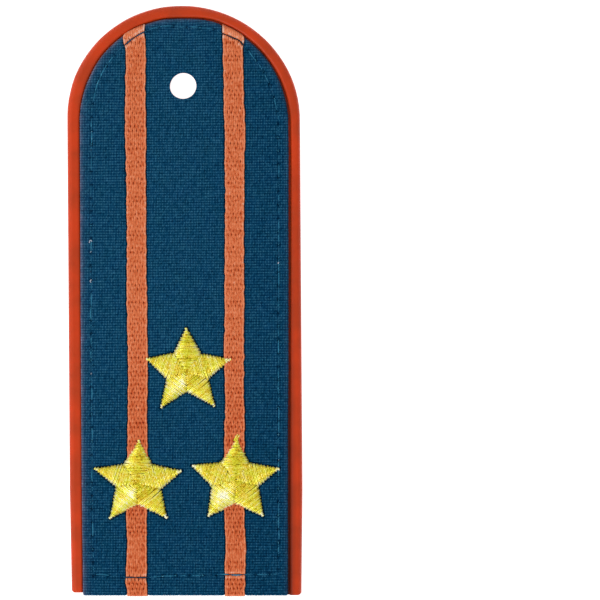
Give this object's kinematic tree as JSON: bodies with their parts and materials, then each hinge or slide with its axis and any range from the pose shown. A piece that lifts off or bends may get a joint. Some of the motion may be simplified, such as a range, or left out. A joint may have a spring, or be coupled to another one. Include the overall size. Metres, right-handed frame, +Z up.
{
  "type": "shoulder board",
  "caption": "Flat shoulder board with a rounded end, a button hole, a moulded edging, a cloth field with woven stripes and raised embroidered stars.",
  "frame": {"origin": "middle of the board's bounding box, on the surface that it lies on", "axes": "+X across the board to its right as worn side up, +Y along the board towards its rounded end, +Z up out of its face"},
  "size_m": [0.056, 0.1422, 0.0046],
  "materials": {
    "edging_plastic": "moulded soft PVC, satin",
    "field_cloth": "fine cross-ribbed weave",
    "stripe_yarn": "woven stripe, chain columns",
    "star_thread": "metallic satin stitch",
    "seam_thread": "sewing thread"
  },
  "bodies": {
    "root": {"base_tray": "edging_plastic", "cloth_panel": "field_cloth", "stripe_left": "stripe_yarn", "stripe_right": "stripe_yarn", "star_top": "star_thread", "star_left": "star_thread", "star_right": "star_thread"}
  },
  "joints": []
}
